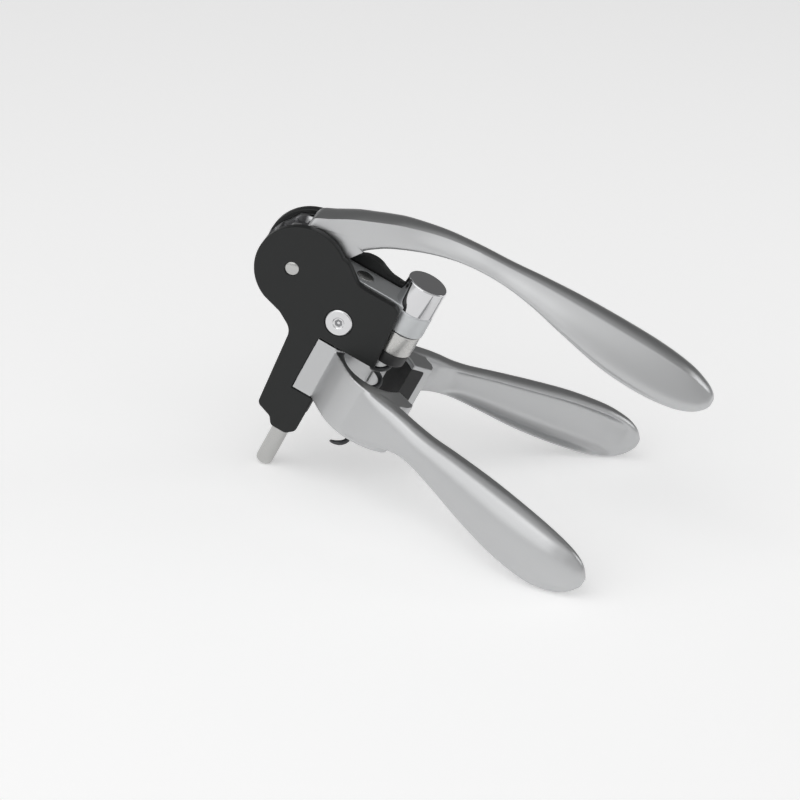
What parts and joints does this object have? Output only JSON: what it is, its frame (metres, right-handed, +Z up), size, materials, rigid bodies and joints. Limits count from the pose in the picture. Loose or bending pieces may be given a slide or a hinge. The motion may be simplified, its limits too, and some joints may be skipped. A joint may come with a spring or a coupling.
{
  "type": "lever corkscrew",
  "caption": "Lever corkscrew: two hinged handles clamp the bottle neck while a geared lever drives a sliding carriage that screws the worm down and pulls the cork.",
  "frame": {"origin": "middle of the underside of the resting tool: the middle of its bounding box in X and Y, on the table in Z", "axes": "+Z up from the table; +X along the tool from the geared head towards the lever and handle tips; +Y towards the far side plate. The tool lies as it rests, on the guide rod's end and both handles, so its rod leans 21.7 degrees towards +X"},
  "size_m": [0.1944, 0.1414, 0.12],
  "materials": {
    "plate_black": "matte with a soft sheen",
    "black_plastic": "matte",
    "dark_steel": "oiled machined steel",
    "steel": "ground",
    "chrome": "polished",
    "housing_metal": "satin",
    "satin_alloy": "bead-blasted satin",
    "plated_steel": "plated",
    "coated_steel": "non-stick coated",
    "bronze": "sintered",
    "grip_rubber": "soft matte"
  },
  "bodies": {
    "head": {"near_side_plate": "plate_black", "far_side_plate": "plate_black", "guide_block": "dark_steel", "leg_spacer": "black_plastic", "hinge_sleeve": "steel", "lever_pin": "steel", "near_plate_screw": "chrome", "far_plate_screw": "chrome", "nut_housing": "housing_metal", "nut_collar": "black_plastic", "worm_nut": "dark_steel"},
    "lever": {"lever_arm": "satin_alloy", "lever_root": "satin_alloy", "pinion": "dark_steel", "pinion_bush": "bronze"},
    "carriage": {"carriage_strap": "plated_steel", "guide_rod": "steel", "rack_bar": "dark_steel", "rack_rivets": "steel", "chrome_cap": "chrome", "thrust_washer": "bronze"},
    "worm": {"worm_helix": "coated_steel", "worm_sleeve": "black_plastic", "worm_head": "chrome"},
    "near_grip": {"near_handle": "satin_alloy", "near_insert": "grip_rubber", "near_insert_screws": "steel"},
    "far_grip": {"far_handle": "satin_alloy", "far_insert": "grip_rubber", "far_insert_screws": "steel"}
  },
  "joints": [
    {"name": "lever_hinge", "type": "hinge", "parent": "head", "child": "lever", "pos_m": [-0.08109, 0, 0.09577], "axis": [0, -1, 0], "range_deg": [0, 185]},
    {"name": "carriage_slide", "type": "slide", "parent": "head", "child": "carriage", "axis": [0.3704, 0, 0.9289], "range_m": [0, 0.04684]},
    {"name": "worm_spin", "type": "hinge", "parent": "carriage", "child": "worm", "pos_m": [-0.04468, 0, 0.04777], "axis": [0.3704, 0, 0.9289], "range_deg": [0, 1685.96]},
    {"name": "near_handle_hinge", "type": "hinge", "parent": "head", "child": "near_grip", "pos_m": [-0.07068, 0, 0.04737], "axis": [0.3704, 0, 0.9289], "range_deg": [0, 15.5]},
    {"name": "far_handle_hinge", "type": "hinge", "parent": "head", "child": "far_grip", "pos_m": [-0.07068, 0, 0.04737], "axis": [0.3704, 0, 0.9289], "range_deg": [-15.5, 0]}
  ],
  "couplings": [
    {"joint": "carriage_slide", "follows": "lever_hinge", "m_per_rad": 0.0145},
    {"joint": "worm_spin", "follows": "lever_hinge", "ratio": 9.1106}
  ]
}
